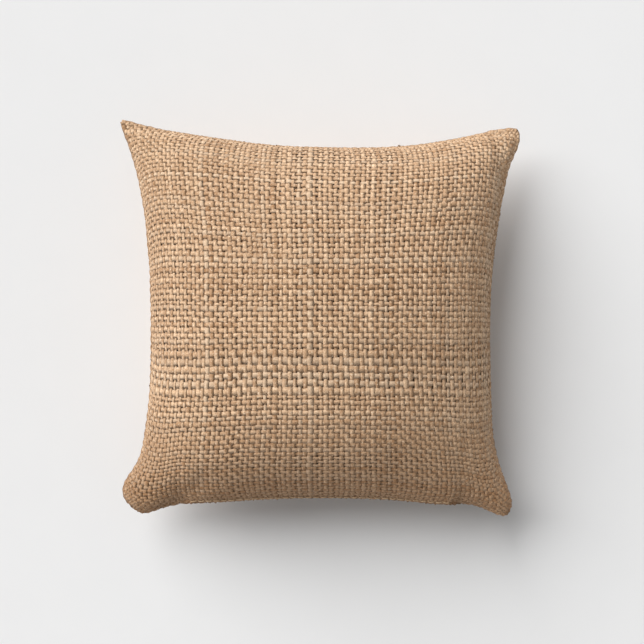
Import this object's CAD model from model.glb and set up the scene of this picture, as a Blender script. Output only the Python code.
"""Looks of the burlap ring bearer pillow.

The cloth solver fills the cover and settles it on the table, with its seam held still. The cover is then
woven out of single yarns that follow the settled surface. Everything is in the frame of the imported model.
Shapes are worked out in millimetres and turned into metres when a mesh is made.
"""

import math

import bpy
import numpy as np
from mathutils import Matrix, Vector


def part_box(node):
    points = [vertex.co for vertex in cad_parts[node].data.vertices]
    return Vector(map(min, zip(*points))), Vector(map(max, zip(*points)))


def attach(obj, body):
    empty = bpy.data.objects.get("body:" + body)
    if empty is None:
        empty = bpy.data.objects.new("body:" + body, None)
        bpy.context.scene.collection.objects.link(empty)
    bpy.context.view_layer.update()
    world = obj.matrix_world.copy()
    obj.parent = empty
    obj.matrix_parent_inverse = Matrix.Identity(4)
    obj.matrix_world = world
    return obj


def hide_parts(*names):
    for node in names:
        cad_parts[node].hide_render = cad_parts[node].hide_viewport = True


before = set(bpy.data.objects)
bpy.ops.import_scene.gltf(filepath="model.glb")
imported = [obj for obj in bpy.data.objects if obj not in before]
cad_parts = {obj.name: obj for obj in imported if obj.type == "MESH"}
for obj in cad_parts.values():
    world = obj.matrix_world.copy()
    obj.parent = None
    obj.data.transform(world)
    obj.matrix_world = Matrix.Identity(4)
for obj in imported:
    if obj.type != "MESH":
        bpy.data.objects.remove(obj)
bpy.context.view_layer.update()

MM = 0.001

# ---- Sizes, in millimetres ----------------------------------------------------------------------------
YARN_LIFT = 0.24                 # crown of a yarn's middle above the middle of the cloth
YARN_TALL = 0.26                 # half the height of a yarn
YARN_WIDE = 1.19                 # half its width
SKIN = YARN_LIFT + YARN_TALL     # middle of the cloth to its outside
HALF = 101.0 - SKIN              # half the flat cover, to the middle of the cloth
SEAM_Z = 30.0                    # height of the seam plane
CROWN = 43.5 - SKIN              # how far the front panel rises from it
BELLY = 37.5 - SKIN              # how far the back panel would drop from it if the table weren't there
EAR = 3.0                        # how much thinner the ears are than a plain dome
LIP = 4.5                        # seam plane to either edge of the zip opening
SLOT_HALF = 67.0                 # half the length of the zip opening
SEAM_GAP = 0.78                  # seam plane to the middle of the cloth where the panels are sewn
PITCH = 2.36                     # from one thread to the next
THICK_PITCH = 3.6                # the same in the band of thick weft yarns
THICK_BAND = (-34.0, -13.0)      # where that band lies on the flat panel, up Y
TACK_OUT = SKIN + 0.25           # middle of the bar tacks' thread above the middle of the cloth
STITCH_EVERY = 3.8               # from one topstitch to the next
COIL_PITCH = 1.4                 # from one turn of a zip coil to the next
COIL_END = 0.4                   # bare end of the chain, before its first turn

# ---- Counts and shares --------------------------------------------------------------------------------
WARPS = 85                       # threads across one panel
CELLS = 52                       # cells across a panel in the simulation
RINGS = 3                        # rings of points between two crossings of a yarn
YARN_SIDES = 5                   # points in a ring
SIDE_WAIST, TOP_WAIST, ZIP_WAIST = 0.165, 0.14, 0.12   # how far each side pulls in, as a share of HALF
WAIST_POWER = 2.6                # a higher power keeps the pulled-in part of a side straighter
STRAIGHT = 0.69                  # share of the zipped side that is straight

# How much of each ear is rounded off, by the signs of its X and Y
EARS = {(-1, -1): 0.17, (1, -1): 0.16, (-1, 1): 0.02, (1, 1): 0.10}
# Where this pillow's outline differs from an even one: centre, how far it is pushed, and over what reach
NUDGES = (
    ((-93, -84), (-6.4, 0.6), 11.0),
    ((-80, -93), (-1.5, -4.2), 13.0),
    ((86, -92), (5.0, -3.4), 13.0),
    ((-97, 98), (-0.8, 0.5), 12.0),
    ((96, 90), (4.6, 1.8), 11.0),
    ((-58, 90), (0.0, 1.9), 32.0),
    ((45, 88), (0.0, -1.0), 32.0),
    ((90, 55), (1.7, 0.0), 34.0),
    ((88, -62), (-2.2, 0.0), 22.0),
    ((0, -88), (0.0, 1.0), 45.0),
    ((-58, -88), (0.0, -1.3), 22.0),
    ((66, -88), (0.0, -2.4), 22.0),
    ((-90, 30), (-0.6, 0.0), 40.0),
)
# Creases in the front panel: from, to, half width and depth
CREASES = (
    ((87.0, 94.0), (90.0, 66.0), 3.2, 1.3),
    ((-74.0, -93.0), (-58.0, -78.0), 5.0, 1.6),
)
# One topstitch: distance along the row, and height over the middle of the cloth
STITCH = ((0, 0.2), (0.3, SKIN + 0.25), (1.4, SKIN + 0.45), (2.5, SKIN + 0.25), (2.8, 0.2))


def smooth(t):
    """0 up to t = 0, 1 from t = 1, and an even curve between them."""
    t = np.clip(t, 0.0, 1.0)
    return t * t * t * (10 - 15 * t + 6 * t * t)


def wave(x, y, scale, seed):
    """Smooth noise between about -1 and 1, the same for the same seed."""
    r = np.random.default_rng(seed)
    total = np.zeros(np.broadcast(x, y).shape)
    waves, usual_peak = 7, 3.2
    for _ in range(waves):
        a = r.uniform(0, 2 * math.pi)
        k = 2 * math.pi / (scale * r.uniform(0.7, 1.6))
        total += np.sin(k * (x * math.cos(a) + y * math.sin(a)) + r.uniform(0, 2 * math.pi))
    return total / usual_peak


# ---- Shape of the filled cover --------------------------------------------------------------------
def arc_angle(s):
    """Angle across a dome, from -90 to 90 degrees, that goes with an even share s of the cloth, -1 to 1."""
    half_width, height = 85, 43
    a = np.linspace(-math.pi / 2, math.pi / 2, 721)
    step = np.hypot(half_width * np.cos(a), height * np.sin(a))
    length = np.concatenate([[0], np.cumsum((step[1:] + step[:-1]) / 2)])
    return np.interp(s, 2 * length / length[-1] - 1, a)


def plan(u, v):
    """Where the point (u, v) of the flat square lies once the sides pull in and the ears round off."""
    ru, rv = u.copy(), v.copy()
    for (sx, sy), cut in EARS.items():
        near = smooth((u * sx + 0.15) / 0.6) * smooth((v * sy + 0.15) / 0.6) * np.abs(u * v) ** 6
        ru *= np.sqrt(1 - cut * near * v * v)
        rv *= np.sqrt(1 - cut * near * u * u)
    x = HALF * ru * (1 - SIDE_WAIST * (1 - np.abs(rv) ** WAIST_POWER))
    pull = TOP_WAIST * (1 - np.abs(ru) ** WAIST_POWER)
    zipped = ZIP_WAIST * (1 - smooth((np.abs(ru) - STRAIGHT) / (1 - STRAIGHT)))
    low = rv * rv * zipped + (1 - rv * rv) * pull
    y = HALF * rv * (1 - np.where(rv < 0, low, pull))
    push_x, push_y = 0, 0
    for (cx, cy), (dx, dy), reach in NUDGES:
        share = np.exp(-((x - cx) ** 2 + (y - cy) ** 2) / reach**2)
        push_x = push_x + dx * share
        push_y = push_y + dy * share
    return x + push_x, y + push_y


def zip_share(x):
    """1 over the zip opening, 0 beyond its ends."""
    return 1 - smooth((np.abs(x) - SLOT_HALF + 2) / 5)


def panel_grid(up, cells):
    """Points of one filled panel, row by row across X, column by column up Y."""
    line = np.linspace(-1, 1, cells + 1)
    s, t = np.meshgrid(line, line, indexing="ij")
    rise = (CROWN if up > 0 else BELLY) + EAR

    def bent(even, other):
        """Even steps along the cloth as steps across the plan: along an arc inside, straight at the sides."""
        flat = np.abs(other) ** 5
        return (1 - flat) * np.sin(arc_angle(even)) + flat * even

    u, v = bent(s, t), bent(t, s)
    x, y = plan(u, v)
    lift = rise * np.sqrt(np.clip(1 - u * u, 0, 1)) * np.sqrt(np.clip(1 - v * v, 0, 1))
    z = lift - EAR * (1 - np.exp(-lift / EAR))
    lip = zip_share(x)
    foot = SEAM_GAP + (LIP + SKIN - SEAM_GAP) * lip
    z = np.hypot(z, foot * smooth(-t / 0.5))
    edge = np.minimum(np.minimum(1 - np.abs(s), 1 - np.abs(t)) * cells / 2, 2.0)
    z = np.maximum(z, SEAM_GAP * np.exp(-edge))
    return np.stack([x, y, SEAM_Z + up * z], axis=-1)


# ---- Cloth simulation -----------------------------------------------------------------------------
def simulate():
    """Fills the cover and settles it on the table with its seam held still, and returns its two panels."""
    scale = 0.01                 # the solver works best on things about a metre across
    frames = 16
    grids = [panel_grid(up, CELLS) for up in (1, -1)]
    n = CELLS + 1
    index = np.full((2, n, n), -1)
    rest, start = [], []
    for k in (0, 1):
        for i in range(n):
            for j in range(n):
                rim = i in (0, n - 1) or j in (0, n - 1)
                open_here = j == 0 and zip_share(grids[0][i, 0, 0]) > 0.02
                if k == 1 and rim and not open_here:
                    index[k, i, j] = index[0, i, j]
                    continue
                index[k, i, j] = len(rest)
                p = grids[k][i, j].copy()
                if rim and not open_here:
                    p[2] = SEAM_Z
                rest.append(p * scale)
                start.append(np.array([p[0], p[1], max(p[2], SKIN + 0.1)]) * scale)
    faces = []
    for k in (0, 1):
        for i in range(n - 1):
            for j in range(n - 1):
                f = [index[k, i, j], index[k, i + 1, j], index[k, i + 1, j + 1], index[k, i, j + 1]]
                faces.append([int(q) for q in (f if k == 0 else f[::-1])])
    # A strip closes the zip opening, so that the filling's pressure stays in
    opened = [i for i in range(n) if index[1, i, 0] != index[0, i, 0]]
    for i in range(opened[0] - 1, opened[-1] + 1):
        f = [index[1, i, 0], index[1, i + 1, 0], index[0, i + 1, 0], index[0, i, 0]]
        faces.append([int(q) for m, q in enumerate(f) if q not in f[:m]])

    mesh = bpy.data.meshes.new("settling")
    mesh.from_pydata([tuple(p) for p in start], [], faces)
    obj = bpy.data.objects.new("settling", mesh)
    bpy.context.scene.collection.objects.link(obj)
    obj.shape_key_add(name="Basis")
    filled = obj.shape_key_add(name="filled")
    for i, p in enumerate(rest):
        filled.data[i].co = p
    held = obj.vertex_groups.new(name="held")
    edge = [(i, j) for i in range(n) for j in range(n) if i in (0, n - 1) or j in (0, n - 1)]
    held.add(sorted({int(index[k, i, j]) for i, j in edge for k in (0, 1)}), 1.0, "REPLACE")

    table = bpy.data.meshes.new("settling_table")
    z, far = SKIN * scale, 2
    table.from_pydata([(-far, -far, z), (far, -far, z), (far, far, z), (-far, far, z)], [], [(0, 1, 2, 3)])
    table_obj = bpy.data.objects.new("settling_table", table)
    bpy.context.scene.collection.objects.link(table_obj)
    table_obj.modifiers.new("collide", "COLLISION")
    table_obj.collision.thickness_outer = 0.001

    cloth = obj.modifiers.new("cloth", "CLOTH")
    c = cloth.settings
    c.quality = 6
    c.mass = 0.3
    c.tension_stiffness = c.compression_stiffness = 30
    c.shear_stiffness = 20
    c.bending_stiffness = 12
    c.use_pressure = True
    c.uniform_pressure_force = 1.2
    c.rest_shape_key = filled
    c.effector_weights.gravity = 0.1
    c.vertex_group_mass = "held"
    cloth.collision_settings.use_collision = True
    cloth.collision_settings.distance_min = 0.001
    cloth.collision_settings.use_self_collision = False
    scene = bpy.context.scene
    scene.frame_start, scene.frame_end = 1, frames
    cloth.point_cache.frame_start, cloth.point_cache.frame_end = 1, frames
    for number in range(1, frames + 1):
        scene.frame_set(number)
    depsgraph = bpy.context.evaluated_depsgraph_get()
    settled = obj.evaluated_get(depsgraph).to_mesh()
    points = np.empty(3 * len(settled.vertices))
    settled.vertices.foreach_get("co", points)
    points = points.reshape(-1, 3) / scale
    scene.frame_set(1)
    for o in (obj, table_obj):
        bpy.data.objects.remove(o, do_unlink=True)
    return [points[index[k]] for k in (0, 1)]


def dented(grid, up):
    """Adds soft unevenness and, in the front, a crease at two of the ears, and keeps it off the table."""
    x, y = grid[..., 0], grid[..., 1]
    reach, uneven = HALF * 0.85, 0.55
    inside = smooth((np.minimum(reach - np.abs(x), reach - np.abs(y)) + 4) / 30)
    z = grid[..., 2] + up * inside * uneven * wave(x, y, 75.0, 5 + up)
    if up > 0:
        for (ax, ay), (bx, by), wide, deep in CREASES:
            dx, dy = bx - ax, by - ay
            along = np.clip(((x - ax) * dx + (y - ay) * dy) / (dx * dx + dy * dy), 0, 1)
            away = np.hypot(x - ax - along * dx, y - ay - along * dy) / wide
            room = np.clip(z - SEAM_Z - SEAM_GAP, 0, None)
            z = z - np.minimum(deep * np.exp(-away * away), 0.6 * room)
    floor, ease = SKIN + 0.02, 1.5
    grid = grid.copy()
    eased = floor + ease * np.exp(np.minimum(z - floor, ease) / ease - 1)
    grid[..., 2] = np.where(z < floor + ease, eased, z)
    return grid


# ---- A smooth surface through one panel's points -----------------------------------------------------
class Surface:
    """A panel's position and normal anywhere, and a little beyond its edge, where the cloth is turned in."""

    def __init__(self, grid, up):
        self.up = up
        self.cells = grid.shape[0] - 1
        self.pad = 3
        n, pad = self.cells + 1, self.pad
        g = np.zeros((n + 2 * pad, n + 2 * pad, 3))
        g[pad:-pad, pad:-pad] = grid
        onward, inside = 1.9, 0.12   # how far each added row goes on, and how far it drops inwards
        for axis in (0, 1):
            for side in (0, 1):
                view = g if axis == 0 else g.transpose(1, 0, 2)
                edge = pad if side == 0 else pad + n - 1
                step = 1 if side == 0 else -1
                inward = view[edge + step] - view[edge]
                inward[..., 2] = 0
                inward /= np.maximum(np.linalg.norm(inward, axis=-1, keepdims=True), 1e-6)
                for m in range(1, pad + 1):
                    view[edge - step * m] = view[edge] + inward * onward * m
                    view[edge - step * m, :, 2] -= up * inside * m
        self.g = g

    def at(self, s, t):
        """The point at s and t, which run from -1 to 1 over the panel."""
        n = self.cells
        fs = (np.asarray(s) + 1) / 2 * n + self.pad
        ft = (np.asarray(t) + 1) / 2 * n + self.pad
        top = self.g.shape[0] - 3
        i = np.clip(np.floor(fs).astype(int), 1, top)
        j = np.clip(np.floor(ft).astype(int), 1, top)
        a, b = (fs - i)[..., None], (ft - j)[..., None]

        def weights(f):
            """How much each of four neighbours counts, for a Catmull-Rom spline."""
            return (
                ((-f + 2) * f - 1) * f / 2,
                ((3 * f - 5) * f * f + 2) / 2,
                ((-3 * f + 4) * f + 1) * f / 2,
                (f - 1) * f * f / 2,
            )

        wa, wb = weights(a), weights(b)
        total = 0
        for p in range(4):
            for q in range(4):
                total = total + self.g[i + p - 1, j + q - 1] * wa[p] * wb[q]
        return total

    def frame(self, s, t):
        """Position, the directions of growing s and t, and the outward normal."""
        e = 0.01
        p = self.at(s, t)
        ds = self.at(s + e, t) - self.at(s - e, t)
        dt = self.at(s, t + e) - self.at(s, t - e)
        ds /= np.maximum(np.linalg.norm(ds, axis=-1, keepdims=True), 1e-9)
        dt /= np.maximum(np.linalg.norm(dt, axis=-1, keepdims=True), 1e-9)
        normal = self.up * np.cross(ds, dt)
        normal /= np.maximum(np.linalg.norm(normal, axis=-1, keepdims=True), 1e-9)
        return p, ds, dt, normal


def link_object(name, data):
    """Puts a mesh, light or camera into the scene."""
    obj = bpy.data.objects.new(name, data)
    bpy.context.scene.collection.objects.link(obj)
    return obj


# ---- Yarns ------------------------------------------------------------------------------------------
def weft_places(panel):
    """Where each weft yarn lies, -1 to 1 up the panel, with a band of thick slubby ones below the middle."""
    pitches, y = [], -100.0
    low, high = THICK_BAND
    r = np.random.default_rng(40 + panel)
    while y < 100.0:
        thick = panel == 0 and low < y < high
        pitch = THICK_PITCH if thick else PITCH * (0.93 if y < -50 else 1.0)
        pitches.append(pitch * (1 + 0.08 * r.standard_normal()))
        y += pitch
    edges = np.concatenate([[0], np.cumsum(pitches)])
    return 2 * edges / edges[-1] - 1


def ring_places(edges, crossings):
    """Where a yarn's rings lie: counted in crossings, and from -1 to 1 with turned-in ends beyond."""
    ends_before, ends_after = [-1.15, -0.45], [crossings + 0.45, crossings + 1.15]
    inside = (np.arange(crossings * RINGS) + 0.5) / RINGS
    counted = np.concatenate([ends_before, inside, ends_after])
    beyond = 1.2
    first = -1 - (edges[1] - edges[0]) * beyond
    last = 1 + (edges[-1] - edges[-2]) * beyond
    known = np.concatenate([[-beyond], np.arange(crossings + 1), [crossings + beyond]])
    return counted, np.interp(counted, known, np.concatenate([[first], edges, [last]]))


def yarn_shades(r, px, py, number, over, round_z, seed):
    """Tone, brown specks, height in the weave and grey yarns: the four channels of each point's colour."""
    count, length = px.shape
    each_yarn = 0.17 * r.standard_normal((count, 1))
    each_ring = 0.10 * r.standard_normal((count, length))
    drift = 0.13 * wave(px + 17 * number, py + 29 * number, 22.0, 11 + seed)
    tone = np.clip(0.5 + each_yarn + drift + each_ring, 0, 1)
    grey = np.broadcast_to(r.random((count, 1)) < 0.16, tone.shape) * 1.0
    specks = 34
    spot = np.zeros_like(tone)
    for _ in range(specks):
        spot[r.integers(0, count), r.integers(0, length)] = r.uniform(0.5, 1.0)
    crown = 0.5 + 0.5 * over * np.ones_like(tone)
    shade = np.stack([tone, spot, crown, grey], axis=-1)
    colours = np.repeat(shade[:, :, None, :], len(round_z), axis=2)
    colours[..., 2] *= np.where(round_z > 0.9, 1.0, np.where(round_z > 0, 0.84, 0.4))
    return colours.reshape(-1, 4)


def yarn_mesh(name, points, colours):
    """Closed tubes through their rings of points. Each yarn has a strip of the UV map to itself."""
    count, length, sides = points.shape[:3]
    base = (np.arange(count)[:, None, None] * length + np.arange(length - 1)[None, :, None]) * sides
    k = np.arange(sides)[None, None, :]
    k2 = (k + 1) % sides
    corners = np.broadcast_arrays(base + k, base + k2, base + sides + k2, base + sides + k)
    quads = np.stack(corners, axis=-1).reshape(-1, 4)
    caps = []
    for i in range(count):
        first, last = i * length * sides, (i * length + length - 1) * sides
        caps.append([first + m for m in range(sides)][::-1])
        caps.append([last + m for m in range(sides)])
    mesh = bpy.data.meshes.new(name)
    mesh.from_pydata((points.reshape(-1, 3) * MM).tolist(), [], quads.tolist() + caps)
    mesh.update()
    shades = mesh.color_attributes.new("yarn", "FLOAT_COLOR", "POINT")
    shades.data.foreach_set("color", colours.astype(np.float32).ravel())
    row = np.arange(count)[:, None, None]
    step = np.arange(length - 1)[None, :, None]
    low = (row + 0.08 + 0.84 * k / sides) / count
    high = (row + 0.08 + 0.84 * (k + 1) / sides) / count
    left, right = step / (length - 1.0), (step + 1) / (length - 1.0)
    square = ((left, low), (left, high), (right, high), (right, low))
    loops = np.stack([np.stack(np.broadcast_arrays(a, b), axis=-1) for a, b in square], axis=-2)
    on_caps = np.zeros((2 * count * sides, 2))
    uv = mesh.uv_layers.new(name="OFBake")
    uv.data.foreach_set("uv", np.concatenate([loops.reshape(-1, 2), on_caps]).ravel())
    mesh.shade_smooth()
    return link_object(name, mesh)


def build_yarns(name, surface, along_y, panel, seed):
    """All the warp or weft yarns of one panel as closed tubes that pass over and under each other."""
    r = np.random.default_rng(seed)
    weft_edges = weft_places(panel)
    warp_edges = np.linspace(-1, 1, WARPS + 1)
    warp_edges[1:-1] += r.normal(0, 0.0018, WARPS - 1)
    own, other = (warp_edges, weft_edges) if along_y else (weft_edges, warp_edges)
    count, crossings = len(own) - 1, len(other) - 1
    q, place = ring_places(other, crossings)
    middle = (own[:-1] + own[1:]) / 2
    pitch = (own[1:] - own[:-1]) * 100.0
    number = np.arange(count)[:, None]

    # Where the yarns run: each in its lane, with a little sway
    lane, run = np.broadcast_arrays(middle[:, None], place[None, :])
    x, y = (lane, run) if along_y else (run, lane)
    px, py = x * 100, y * 100
    shared_sway = 0.35 * wave(px, py, 50.0, 70 + along_y)
    own_sway = 0.22 * wave(px + 37 * number, py + 53 * number, 14.0, 80 + seed)
    edge_room = smooth((1 - np.abs(lane)) / 0.05)
    lane = lane + (shared_sway + own_sway) * edge_room / 100.0
    s, t = (lane, run) if along_y else (run, lane)
    p, ds, dt, normal = surface.frame(s, t)
    aside = np.cross(normal, dt if along_y else ds)
    aside /= np.maximum(np.linalg.norm(aside, axis=-1, keepdims=True), 1e-9)

    # How wide, tall and high each ring is
    over = (1 if along_y else -1) * (-1.0) ** number * np.sin(math.pi * np.clip(q, 0, crossings))[None, :]
    own_size = np.clip(1 + 0.15 * r.standard_normal((count, 1)), 0.72, 1.35)
    uneven = 1 + 0.13 * wave(px + 91 * number, py - 67 * number, 13.0, 90 + seed)
    slub = np.zeros_like(px)
    for _ in range(26 if along_y else 44):
        i = r.integers(0, count)
        c = r.uniform(-95, 95)
        slub[i] = np.maximum(slub[i], np.exp(-(((place * 100) - c) / r.uniform(3, 9)) ** 2))
    spread = np.clip(pitch / PITCH, 0.85, 1.45)[:, None]
    wide = YARN_WIDE * own_size * uneven * (1 + 0.28 * slub) * spread
    tall = YARN_TALL * np.sqrt(own_size * uneven) * (1 + 0.12 * slub)
    lift = YARN_LIFT * over + r.normal(0, 0.03, (count, 1))
    if not along_y and panel == 0:
        # The thick yarns thin out to the right, which leaves long gaps between them
        band = np.exp(-(((py + 24) / 11) ** 4))
        wide = wide * (1 - 0.34 * band * smooth((px - 5) / 60))
    turned = 1 - 0.45 * smooth((np.abs(place) - 1) / 0.02)[None, :]
    wide, tall = wide * turned, tall * turned

    angle = math.pi / 2 + 2 * math.pi * np.arange(YARN_SIDES) / YARN_SIDES
    round_x, round_z = np.cos(angle), np.sin(angle)
    points = (
        p[:, :, None]
        + normal[:, :, None] * (lift[:, :, None] + tall[:, :, None] * round_z)[..., None]
        + aside[:, :, None] * (wide[:, :, None] * round_x)[..., None]
    )
    return yarn_mesh(name, points, yarn_shades(r, px, py, number, over, round_z, seed))


# ---- Small helpers for other pieces -------------------------------------------------------------------
def add_mesh(name, points, faces):
    """An object from points in millimetres."""
    corners = [tuple(float(c) * MM for c in p) for p in points]
    mesh = bpy.data.meshes.new(name)
    mesh.from_pydata(corners, [], [tuple(int(i) for i in f) for f in faces])
    mesh.update()
    mesh.shade_smooth()
    return link_object(name, mesh)


def tube(path, radius, sides=8):
    """Points and faces of a closed round tube along a path."""
    path = np.asarray(path, float)
    forward = np.gradient(path, axis=0)
    forward /= np.maximum(np.linalg.norm(forward, axis=1, keepdims=True), 1e-9)
    up = np.zeros_like(forward)
    guide = np.array([0.0, 0.0, 1.0])
    if abs(forward[0] @ guide) > 0.8:
        guide = np.array([0.0, 1.0, 0.0])
    for i, f in enumerate(forward):
        guide = guide - f * (guide @ f)
        guide /= np.linalg.norm(guide)
        up[i] = guide
    side = np.cross(forward, up)
    a = 2 * math.pi * np.arange(sides) / sides
    spoke = side[:, None] * np.cos(a)[None, :, None] + up[:, None] * np.sin(a)[None, :, None]
    rings = path[:, None] + radius * spoke
    n = len(path)
    faces = []
    for i in range(n - 1):
        for k in range(sides):
            m = (k + 1) % sides
            faces.append((i * sides + k, i * sides + m, (i + 1) * sides + m, (i + 1) * sides + k))
    faces.append(tuple(range(sides))[::-1])
    faces.append(tuple((n - 1) * sides + k for k in range(sides)))
    return rings.reshape(-1, 3), faces


def add_tubes(name, paths, radius, sides=8):
    """Several closed tubes as one object."""
    points, faces = [], []
    for path in paths:
        p, f = tube(path, radius, sides)
        shift = sum(len(q) for q in points)
        faces += [tuple(i + shift for i in face) for face in f]
        points.append(p)
    return add_mesh(name, np.concatenate(points), faces)


def closed_skin(name, outer, inner):
    """A closed mesh between two grids that share their layout."""
    n, m = outer.shape[:2]
    points = np.concatenate([outer.reshape(-1, 3), inner.reshape(-1, 3)])
    size = n * m
    faces = []
    for i in range(n - 1):
        for j in range(m - 1):
            a, b, c, d = i * m + j, (i + 1) * m + j, (i + 1) * m + j + 1, i * m + j + 1
            faces.append((a, b, c, d))
            faces.append((d + size, c + size, b + size, a + size))
    rim = [(i, 0) for i in range(n - 1)] + [(n - 1, j) for j in range(m - 1)]
    rim += [(i, m - 1) for i in range(n - 1, 0, -1)] + [(0, j) for j in range(m - 1, 0, -1)]
    ids = [i * m + j for i, j in rim]
    for a, b in zip(ids, ids[1:] + ids[:1]):
        faces.append((b, a, a + size, b + size))
    return add_mesh(name, points, faces)


def inset(surface, inward, depth, cells=44):
    """A grid inside a panel: over that share of it, and that many millimetres below it, flat at its rim."""
    line = np.linspace(-inward, inward, cells + 1)
    s, t = np.meshgrid(line, line, indexing="ij")
    p, _, _, normal = surface.frame(s, t)
    seam_off = 0.35
    edge = 1 - smooth((np.maximum(np.abs(s), np.abs(t)) / inward - 0.80) / 0.20)
    down = p - normal * depth
    level = SEAM_Z + surface.up * seam_off
    down[..., 2] = level + (down[..., 2] - level) * edge
    pull = 1 - (1 - edge) * 0.03
    down[..., 0] *= pull
    down[..., 1] *= pull
    return down


def on_surface(surface, x, rows, out):
    """The point by the zip at that x, that many threads in from the edge, and raised by out."""
    s = np.linspace(-1, 1, 801)
    t = np.full_like(s, -1 + 2 * rows / WARPS)
    p, _, _, normal = surface.frame(s, t)
    i = int(np.argmin(np.abs(p[:, 0] - x)))
    return p[i] + normal[i] * out


# ---- Materials ----------------------------------------------------------------------------------------
class Nodes:
    """A small wrapper that keeps material graphs readable."""

    def __init__(self, name, rough, sheen=0.0, metal=0.0):
        self.material = bpy.data.materials.new(name)
        self.material.use_nodes = True
        self.tree = self.material.node_tree
        self.shader = self.tree.nodes["Principled BSDF"]
        self.shader.inputs["Roughness"].default_value = rough
        self.shader.inputs["Metallic"].default_value = metal
        self.shader.inputs["Specular IOR Level"].default_value = 0.5 if metal else 0.25
        if sheen:
            self.shader.inputs["Sheen Weight"].default_value = sheen
            self.shader.inputs["Sheen Roughness"].default_value = 0.6

    def add(self, kind, **values):
        node = self.tree.nodes.new(kind)
        for key, value in values.items():
            if hasattr(node, key):
                setattr(node, key, value)
            else:
                node.inputs[key.replace("_", " ")].default_value = value
        return node

    def link(self, a, b):
        self.tree.links.new(a, b)

    def math(self, operation, a, b):
        node = self.add("ShaderNodeMath", operation=operation)
        for socket, value in zip(node.inputs, (a, b)):
            if isinstance(value, (int, float)):
                socket.default_value = value
            else:
                self.link(value, socket)
        return node.outputs[0]

    def mix(self, factor, a, b, blend="MIX"):
        node = self.add("ShaderNodeMix", data_type="RGBA", blend_type=blend)
        for socket, value in ((node.inputs[0], factor), (node.inputs[6], a), (node.inputs[7], b)):
            if isinstance(value, (int, float)):
                socket.default_value = value
            elif isinstance(value, tuple):
                socket.default_value = (*value, 1.0)
            else:
                self.link(value, socket)
        return node.outputs[2]

    def noise(self, scale, detail=3.0, stretch=(1, 1, 1)):
        coordinates = self.add("ShaderNodeTexCoord")
        mapping = self.add("ShaderNodeMapping")
        mapping.inputs["Scale"].default_value = stretch
        self.link(coordinates.outputs["Object"], mapping.inputs["Vector"])
        node = self.add("ShaderNodeTexNoise")
        node.inputs["Scale"].default_value = scale
        node.inputs["Detail"].default_value = detail
        self.link(mapping.outputs[0], node.inputs["Vector"])
        return node.outputs[0]

    def ramp(self, value, low, high):
        node = self.add("ShaderNodeMapRange")
        node.inputs["From Min"].default_value = low
        node.inputs["From Max"].default_value = high
        self.link(value, node.inputs["Value"])
        return node.outputs[0]

    def finish(self, colour, bump=None, strength=0.3, distance=0.0002):
        self.link(colour, self.shader.inputs["Base Color"])
        if bump is not None:
            node = self.add("ShaderNodeBump")
            node.inputs["Strength"].default_value = strength
            node.inputs["Distance"].default_value = distance
            self.link(bump, node.inputs["Height"])
            self.link(node.outputs[0], self.shader.inputs["Normal"])
        return self.material


def burlap(name, along_y):
    """Jute yarn: streaks of fibre, fuzz and cloudy tone, with the yarn's own shades from its mesh."""
    dark_straw, pale_straw = (0.37, 0.205, 0.101), (0.72, 0.502, 0.320)
    between_fibres, loose_fibre = (0.270, 0.140, 0.062), (0.90, 0.74, 0.56)
    grey_yarn, speck = (0.58, 0.470, 0.350), (0.30, 0.115, 0.040)
    by_the_zip, under_crossing = (0.22, 0.105, 0.040), (0.23, 0.108, 0.042)
    m = Nodes(name, 0.9, sheen=0.08)
    attribute = m.add("ShaderNodeAttribute", attribute_name="yarn")
    split = m.add("ShaderNodeSeparateColor")
    m.link(attribute.outputs["Color"], split.inputs[0])
    tone, spot, crown = split.outputs[0], split.outputs[1], split.outputs[2]
    fibres = m.noise(1.0, 4.0, (3400, 700, 2000) if along_y else (700, 3400, 2000))
    fuzz = m.noise(1250.0, 3.0)
    cloud = m.noise(26.0, 2.0)
    value = m.math("ADD", m.math("MULTIPLY", tone, 0.75), m.math("MULTIPLY", fibres, 0.6))
    value = m.math("ADD", value, m.math("MULTIPLY", cloud, 0.3))
    value = m.math("ADD", value, m.math("MULTIPLY", fuzz, 0.95))
    colour = m.mix(m.ramp(value, 0.88, 1.66), dark_straw, pale_straw)
    colour = m.mix(m.ramp(fibres, 0.44, 0.30), colour, between_fibres)
    colour = m.mix(m.ramp(fuzz, 0.60, 0.78), colour, loose_fibre)
    colour = m.mix(m.math("MULTIPLY", attribute.outputs["Alpha"], 0.30), colour, grey_yarn)
    colour = m.mix(m.math("MULTIPLY", spot, 0.6), colour, speck)
    place = m.add("ShaderNodeSeparateXYZ")
    m.link(m.add("ShaderNodeTexCoord").outputs["Object"], place.inputs[0])
    near_zip = m.ramp(place.outputs[1], -0.035, -0.088)
    colour = m.mix(m.math("MULTIPLY", near_zip, 0.56), colour, by_the_zip)
    low = m.ramp(crown, 0.62, 0.34)
    colour = m.mix(m.math("MULTIPLY", low, 0.42), colour, under_crossing)
    return m.finish(colour, m.math("ADD", fibres, m.math("MULTIPLY", fuzz, 0.6)), 0.5, 0.0003)


def woven(name, dark, light, pitch, rough=0.85):
    """Fine plain cloth, tape or ribbon."""
    m = Nodes(name, rough, sheen=0.1)
    across, along = 1 / pitch / MM / 2, 120
    grain = m.noise(1.0, 2.0, (across, along, across))
    cross = m.noise(1.0, 2.0, (along, across, along))
    value = m.math("ADD", m.math("MULTIPLY", grain, 0.5), m.math("MULTIPLY", cross, 0.5))
    colour = m.mix(m.ramp(value, 0.35, 0.65), dark, light)
    return m.finish(colour, value, 0.4, 0.0001)


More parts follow.
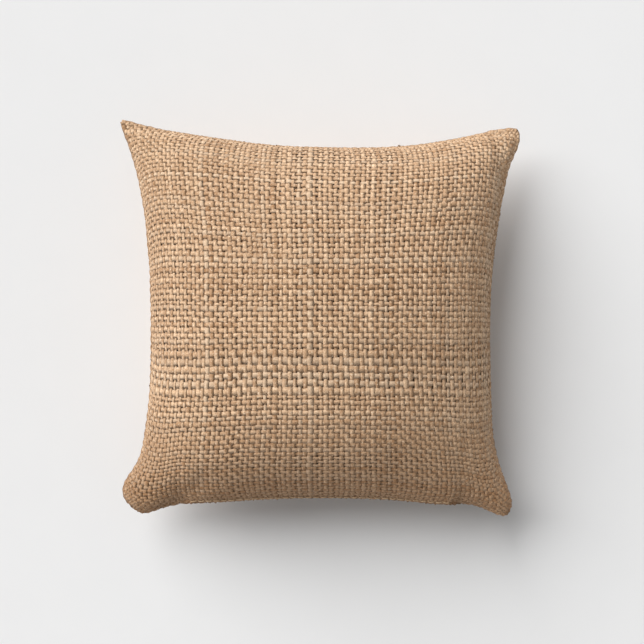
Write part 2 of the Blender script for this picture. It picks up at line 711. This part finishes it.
def metal(name):
    """Zinc with an antique brass finish, a little worn."""
    m = Nodes(name, 0.34, metal=1.0)
    worn = m.noise(900.0, 4.0)
    colour = m.mix(m.ramp(worn, 0.3, 0.7), (0.30, 0.215, 0.115), (0.52, 0.400, 0.235))
    rough = m.ramp(m.noise(2500.0, 3.0), 0.0, 1.0)
    m.link(m.math("ADD", m.math("MULTIPLY", rough, 0.22), 0.24), m.shader.inputs["Roughness"])
    return m.finish(colour, worn, 0.12, 0.00005)


def fibre(name):
    """White filling."""
    m = Nodes(name, 0.95, sheen=0.3)
    tuft = m.noise(220.0, 6.0)
    return m.finish(m.mix(tuft, (0.70, 0.70, 0.68), (0.92, 0.92, 0.91)), tuft, 1.0, 0.001)


def paint(obj, material):
    obj.data.materials.clear()
    obj.data.materials.append(material)


# ---- Build --------------------------------------------------------------------------------------------
# Cover: where the panels are sewn together, both edges keep an even distance from the seam plane
panels = [dented(g, up) for g, up in zip(simulate(), (1, -1))]
for grid, up in zip(panels, (1, -1)):
    rim = np.zeros(grid.shape[:2], bool)
    rim[[0, -1], :] = rim[:, [0, -1]] = True
    close = np.abs(grid[..., 2] - SEAM_Z) < SEAM_GAP
    grid[..., 2] = np.where(rim & close, SEAM_Z + up * SEAM_GAP, grid[..., 2])
front, back = Surface(panels[0], 1), Surface(panels[1], -1)

cover = {
    "front_warp": build_yarns("front_warp", front, True, 0, 1),
    "front_weft": build_yarns("front_weft", front, False, 0, 2),
    "back_warp": build_yarns("back_warp", back, True, 1, 3),
    "back_weft": build_yarns("back_weft", back, False, 1, 4),
}
warp_look, weft_look = burlap("burlap_warp", True), burlap("burlap_weft", False)
for name, obj in cover.items():
    paint(obj, warp_look if name.endswith("warp") else weft_look)
    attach(obj, "pillow")
    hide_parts("front_panel" if name.startswith("front") else "back_panel")

# Insert: its shells lie inside the cover, and its filling inside them
cotton = woven("insert_cotton", (0.30, 0.19, 0.105), (0.42, 0.28, 0.165), 0.5)
white_thread = woven("white_thread", (0.70, 0.68, 0.63), (0.86, 0.84, 0.80), 0.2)
shells = ((front, "insert_front_shell", "insert_front"), (back, "insert_back_shell", "insert_back"))
for surface, node, name in shells:
    outer = inset(surface, 0.86, SKIN + 1.3)
    inner = inset(surface, 0.85, SKIN + 1.9)
    if surface.up < 0:
        outer, inner = outer[::-1], inner[::-1]
    shell = closed_skin(name, outer, inner)
    paint(shell, cotton)
    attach(shell, "pillow")
    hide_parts(node)
filling = closed_skin("filling", inset(front, 0.80, SKIN + 3.0), inset(back, 0.80, SKIN + 3.0))
paint(filling, fibre("polyester_fibre"))
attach(filling, "pillow")
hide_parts("fibre_fill")

# Stitches beside the zip opening and across its ends
tan_thread = woven("tan_thread", (0.36, 0.235, 0.130), (0.54, 0.385, 0.240), 0.2)
for surface, node in ((front, "zip_topstitch_upper"), (back, "zip_topstitch_lower")):
    paths = []
    for x in np.arange(-64.6, 62.0, STITCH_EVERY):
        paths.append([on_surface(surface, x + d, 2.4, h) for d, h in STITCH])
    stitches = add_tubes(node.replace("zip_", ""), paths, 0.3, 6)
    paint(stitches, tan_thread)
    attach(stitches, "pillow")
    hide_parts(node)
tacks = []
for side in (-1, 1):
    path = []
    for k in range(13):
        x = side * (SLOT_HALF + 0.2 + 0.2 * k)
        near, far = (front, back) if k % 2 else (back, front)
        here = on_surface(near, x, 1.2, TACK_OUT)
        there = on_surface(far, x + side * 0.1, 1.2, TACK_OUT)
        path.append(here)
        path.append((here + there) / 2 + np.array([0, -0.3, 0]))
    tacks.append(path[:-1])
bars = add_tubes("bar_tacks", tacks, 0.26, 6)
paint(bars, tan_thread)
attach(bars, "pillow")
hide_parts("zip_bar_tacks")

# Zip: wound coils in place of the CAD combs
low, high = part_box("zip_coil_upper")
coil_front, coil_back = low[1] / MM, high[1] / MM
chain_start, chain_end = low[0] / MM, high[0] / MM
coil_look = woven("nylon_coil", (0.34, 0.26, 0.17), (0.50, 0.40, 0.28), 0.3, 0.45)
coil_middle = (coil_front + coil_back) / 2
coil_off = 0.72                      # seam plane to a coil's middle
coil_tall, coil_deep = 1.12, 0.66    # half the height and depth of a turn
turns = np.arange(0, (chain_end - chain_start - 2 * COIL_END) / COIL_PITCH, 1 / 14)
for up, node in ((1, "zip_coil_upper"), (-1, "zip_coil_lower")):
    phase = 2 * math.pi * turns + (0 if up > 0 else math.pi)
    x = chain_start + COIL_END + COIL_PITCH * turns
    y = coil_middle + coil_deep * np.cos(phase)
    z = SEAM_Z + up * coil_off + coil_tall * np.sin(phase)
    wound = add_tubes(node.replace("zip_", ""), [np.stack([x, y, z], axis=1)], 0.27, 6)
    paint(wound, coil_look)
    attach(wound, "pillow")
    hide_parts(node)

# The other CAD pieces keep their shape and get their materials
tape_look = woven("zip_tape", (0.36, 0.27, 0.17), (0.52, 0.40, 0.27), 0.5)
label_look = woven("label_ribbon", (0.74, 0.72, 0.68), (0.88, 0.87, 0.84), 0.25)
zinc = metal("antique_zinc")
looks = {
    "zip_tape_upper": tape_look,
    "zip_tape_lower": tape_look,
    "zip_top_stops": zinc,
    "zip_bottom_stop": zinc,
    "zip_slider": zinc,
    "zip_pull": zinc,
    "cover_seam_thread": tan_thread,
    "cover_overlock_thread": tan_thread,
    "care_label": label_look,
    "insert_label": label_look,
    "insert_overlock_thread": white_thread,
    "insert_closing_stitches": white_thread,
}
for node, look in looks.items():
    paint(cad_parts[node], look)

# ---- Table, light and camera --------------------------------------------------------------------------
far = 3000
floor_points = [(-far, -far, 0), (far, -far, 0), (far, far, 0), (-far, far, 0)]
floor = add_mesh("table_top", floor_points, [(0, 1, 2, 3)])
paper = Nodes("white_paper", 0.9)
paint(floor, paper.finish(paper.mix(paper.noise(40.0), (0.80, 0.80, 0.80), (0.82, 0.82, 0.82))))

key = bpy.data.lights.new("key", "SUN")
key.energy = 4.0
key.angle = math.radians(56)
key_obj = link_object("key", key)
key_obj.rotation_euler = (math.radians(-55), 0, math.radians(45))
# A white room: dim overhead, bright low down where its walls are
world = bpy.data.worlds.new("studio")
world.use_nodes = True
tree = world.node_tree
direction = tree.nodes.new("ShaderNodeTexCoord")
split = tree.nodes.new("ShaderNodeSeparateXYZ")
walls = tree.nodes.new("ShaderNodeMapRange")
walls.inputs["From Min"].default_value = 0.22
walls.inputs["From Max"].default_value = 0.34
walls.inputs["To Min"].default_value = 0.86
walls.inputs["To Max"].default_value = 0.27
tree.links.new(direction.outputs["Generated"], split.inputs[0])
tree.links.new(split.outputs["Z"], walls.inputs["Value"])
tree.links.new(walls.outputs[0], tree.nodes["Background"].inputs["Strength"])
tree.nodes["Background"].inputs["Color"].default_value = (1.0, 1.0, 1.0, 1.0)
scene = bpy.context.scene
scene.world = world
scene.view_settings.view_transform = "Standard"

camera = bpy.data.cameras.new("camera")
camera.lens = 85
camera_obj = link_object("camera", camera)
camera_obj.location = (0.0005, -0.0005, 0.79)
scene.camera = camera_obj
